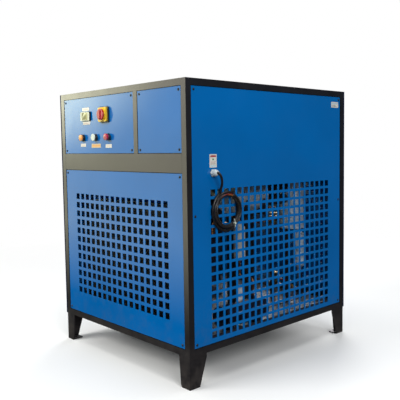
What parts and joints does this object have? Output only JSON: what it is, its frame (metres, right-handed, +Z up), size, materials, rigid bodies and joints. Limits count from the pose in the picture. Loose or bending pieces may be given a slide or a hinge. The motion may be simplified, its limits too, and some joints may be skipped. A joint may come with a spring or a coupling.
{
  "type": "refrigerated air dryer",
  "caption": "Floor-standing refrigerated compressed-air dryer: square-tube cabinet with perforated sheet panels, control panel, coiled power cable and refrigeration internals.",
  "frame": {"origin": "on the floor, at the centre of the four floor anchor holes", "axes": "+X across the cabinet to the panel with the power cable, -Y is the control side, +Y the side with the air flanges, +Z up"},
  "size_m": [0.8945, 1.0537, 1.1211],
  "materials": {
    "frame_paint": "semi-gloss",
    "blue_paint": "gloss",
    "galvanised_sheet": "satin",
    "zinc_steel": "satin",
    "pipe_steel": "satin",
    "dark_screws": "satin",
    "black_metal": "semi-gloss",
    "white_metal": "gloss",
    "black_plastic": "matte",
    "grey_plastic": "matte",
    "display_screen": "gloss",
    "yellow_plastic": "gloss",
    "red_plastic": "gloss",
    "amber_lens": "gloss",
    "red_lens": "gloss",
    "white_plastic": "gloss",
    "label_film": "satin",
    "gland_plastic": "satin",
    "cable_sheath": "satin",
    "foam_insulation": "matte",
    "rubber_mount": "matte",
    "device_plastic": "matte",
    "fin_aluminium": "satin",
    "foil_cladding": "bright",
    "copper_tube": "satin",
    "valve_brass": "satin"
  },
  "bodies": {
    "cabinet": {"frame": "frame_paint", "front_crossbar": "frame_paint", "legs": "frame_paint", "base_plate": "galvanised_sheet", "top_panel": "blue_paint", "control_panel": "blue_paint", "blank_panel": "blue_paint", "front_grille": "blue_paint", "right_panel": "blue_paint", "left_panel": "blue_paint", "rear_upper_panel": "blue_paint", "rear_grille": "blue_paint", "panel_screws": "dark_screws", "main_switch_base": "black_plastic", "main_switch_plate": "yellow_plastic", "switch_contact_block": "black_plastic", "display_bezel": "grey_plastic", "display_window": "display_screen", "pilot_bodies": "black_plastic", "pilot_locknuts": "zinc_steel", "amber_lamp": "amber_lens", "red_lamp": "red_lens", "control_labels": "label_film", "side_labels": "label_film", "cable_gland": "gland_plastic", "gland_locknut": "zinc_steel", "power_cable": "cable_sheath", "cable_tie": "white_plastic", "electrical_tray": "galvanised_sheet", "din_rails": "zinc_steel", "electrical_devices": "device_plastic", "pressure_switches": "device_plastic", "condenser_fins": "fin_aluminium", "condenser_frame": "galvanised_sheet", "condenser_bends": "copper_tube", "fan_shroud": "galvanised_sheet", "fan_guard": "black_metal", "fan_motor": "black_metal", "compressor": "black_metal", "compressor_feet": "rubber_mount", "compressor_bolts": "zinc_steel", "terminal_cover": "black_plastic", "air_exchanger": "foil_cladding", "evaporator": "foil_cladding", "moisture_separator": "foil_cladding", "air_pipes": "pipe_steel", "cold_air_links": "foam_insulation", "exchanger_stand": "frame_paint", "drain_pipe": "pipe_steel", "drain_valve": "valve_brass", "liquid_receiver": "black_metal", "filter_drier": "white_metal", "refrigerant_valves": "valve_brass", "suction_accumulator": "black_metal", "refrigerant_lines": "copper_tube"},
    "main_switch": {"main_switch_knob": "red_plastic"},
    "reset_plunger": {"reset_button": "white_plastic"},
    "fan": {"fan_rotor": "black_plastic", "fan_shaft": "zinc_steel"},
    "drain_handle": {"drain_lever": "red_plastic"}
  },
  "joints": [
    {"name": "main_switch_turn", "type": "hinge", "parent": "cabinet", "child": "main_switch", "pos_m": [-0.079, -0.481, 1.016], "axis": [0, 1, 0], "range_deg": [0, 90]},
    {"name": "reset_press", "type": "slide", "parent": "cabinet", "child": "reset_plunger", "axis": [0, 1, 0], "range_m": [0, 0.003]},
    {"name": "fan_spin", "type": "hinge", "parent": "cabinet", "child": "fan", "pos_m": [0, -0.3105, 0.4125], "axis": [0, 1, 0], "continuous": true},
    {"name": "drain_valve_turn", "type": "hinge", "parent": "cabinet", "child": "drain_handle", "pos_m": [0.225, 0.345, 0.232], "axis": [0, 0, 1], "range_deg": [0, 90]}
  ]
}
